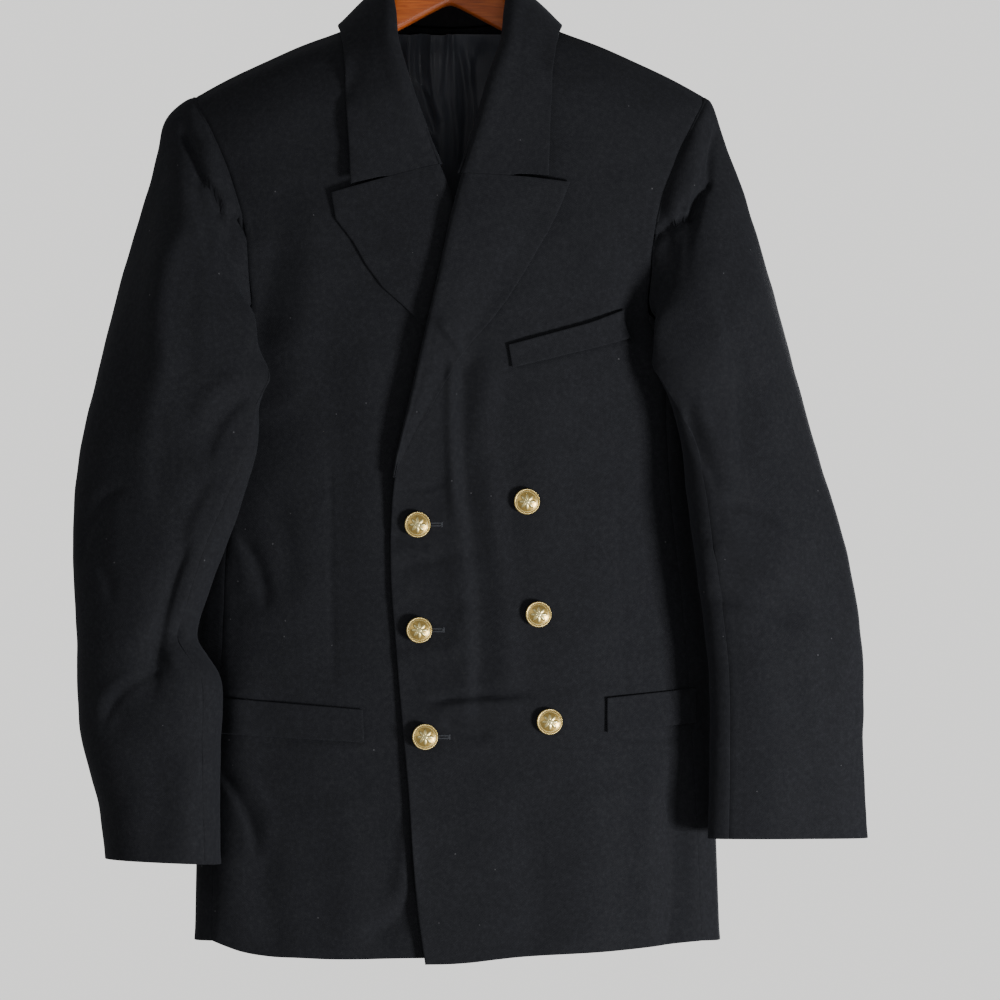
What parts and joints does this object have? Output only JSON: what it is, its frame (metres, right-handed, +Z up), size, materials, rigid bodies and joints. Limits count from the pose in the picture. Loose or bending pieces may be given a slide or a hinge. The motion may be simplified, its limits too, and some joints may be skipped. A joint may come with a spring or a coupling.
{
  "type": "double-breasted blazer on wooden hanger",
  "caption": "Dark wool double-breasted blazer with peak lapels, gold shank buttons, breast welt and flap pockets, hanging on a flat wooden hanger with a wire hook.",
  "frame": {"origin": "inside top of the hanger's hook, where a rod carries it", "axes": "+Z up, -Y out of the front of the blazer, +X to the wearer's left"},
  "size_m": [0.686, 0.1438, 0.9613],
  "materials": {
    "suiting": "soft matt wool twill, midnight blue-black",
    "lining": "smooth dark satin with a soft sheen",
    "wood": "orange-brown stain under satin varnish",
    "wire": "bright plated wire",
    "gilt": "polished gold-coloured metal"
  },
  "bodies": {
    "root": {"left_front": "suiting", "right_front": "suiting", "back_left": "suiting", "back_right": "suiting", "left_side": "suiting", "right_side": "suiting", "left_top_sleeve": "suiting", "left_under_sleeve": "suiting", "right_top_sleeve": "suiting", "right_under_sleeve": "suiting", "left_lapel": "suiting", "right_lapel": "suiting", "collar": "suiting", "breast_welt": "suiting", "left_pocket_flap": "suiting", "right_pocket_flap": "suiting", "button_right_top": "gilt", "button_right_middle": "gilt", "button_right_low": "gilt", "button_left_top": "gilt", "button_left_middle": "gilt", "button_left_low": "gilt", "lining_back": "lining", "hanger_body": "wood", "hanger_hook": "wire"}
  },
  "joints": []
}
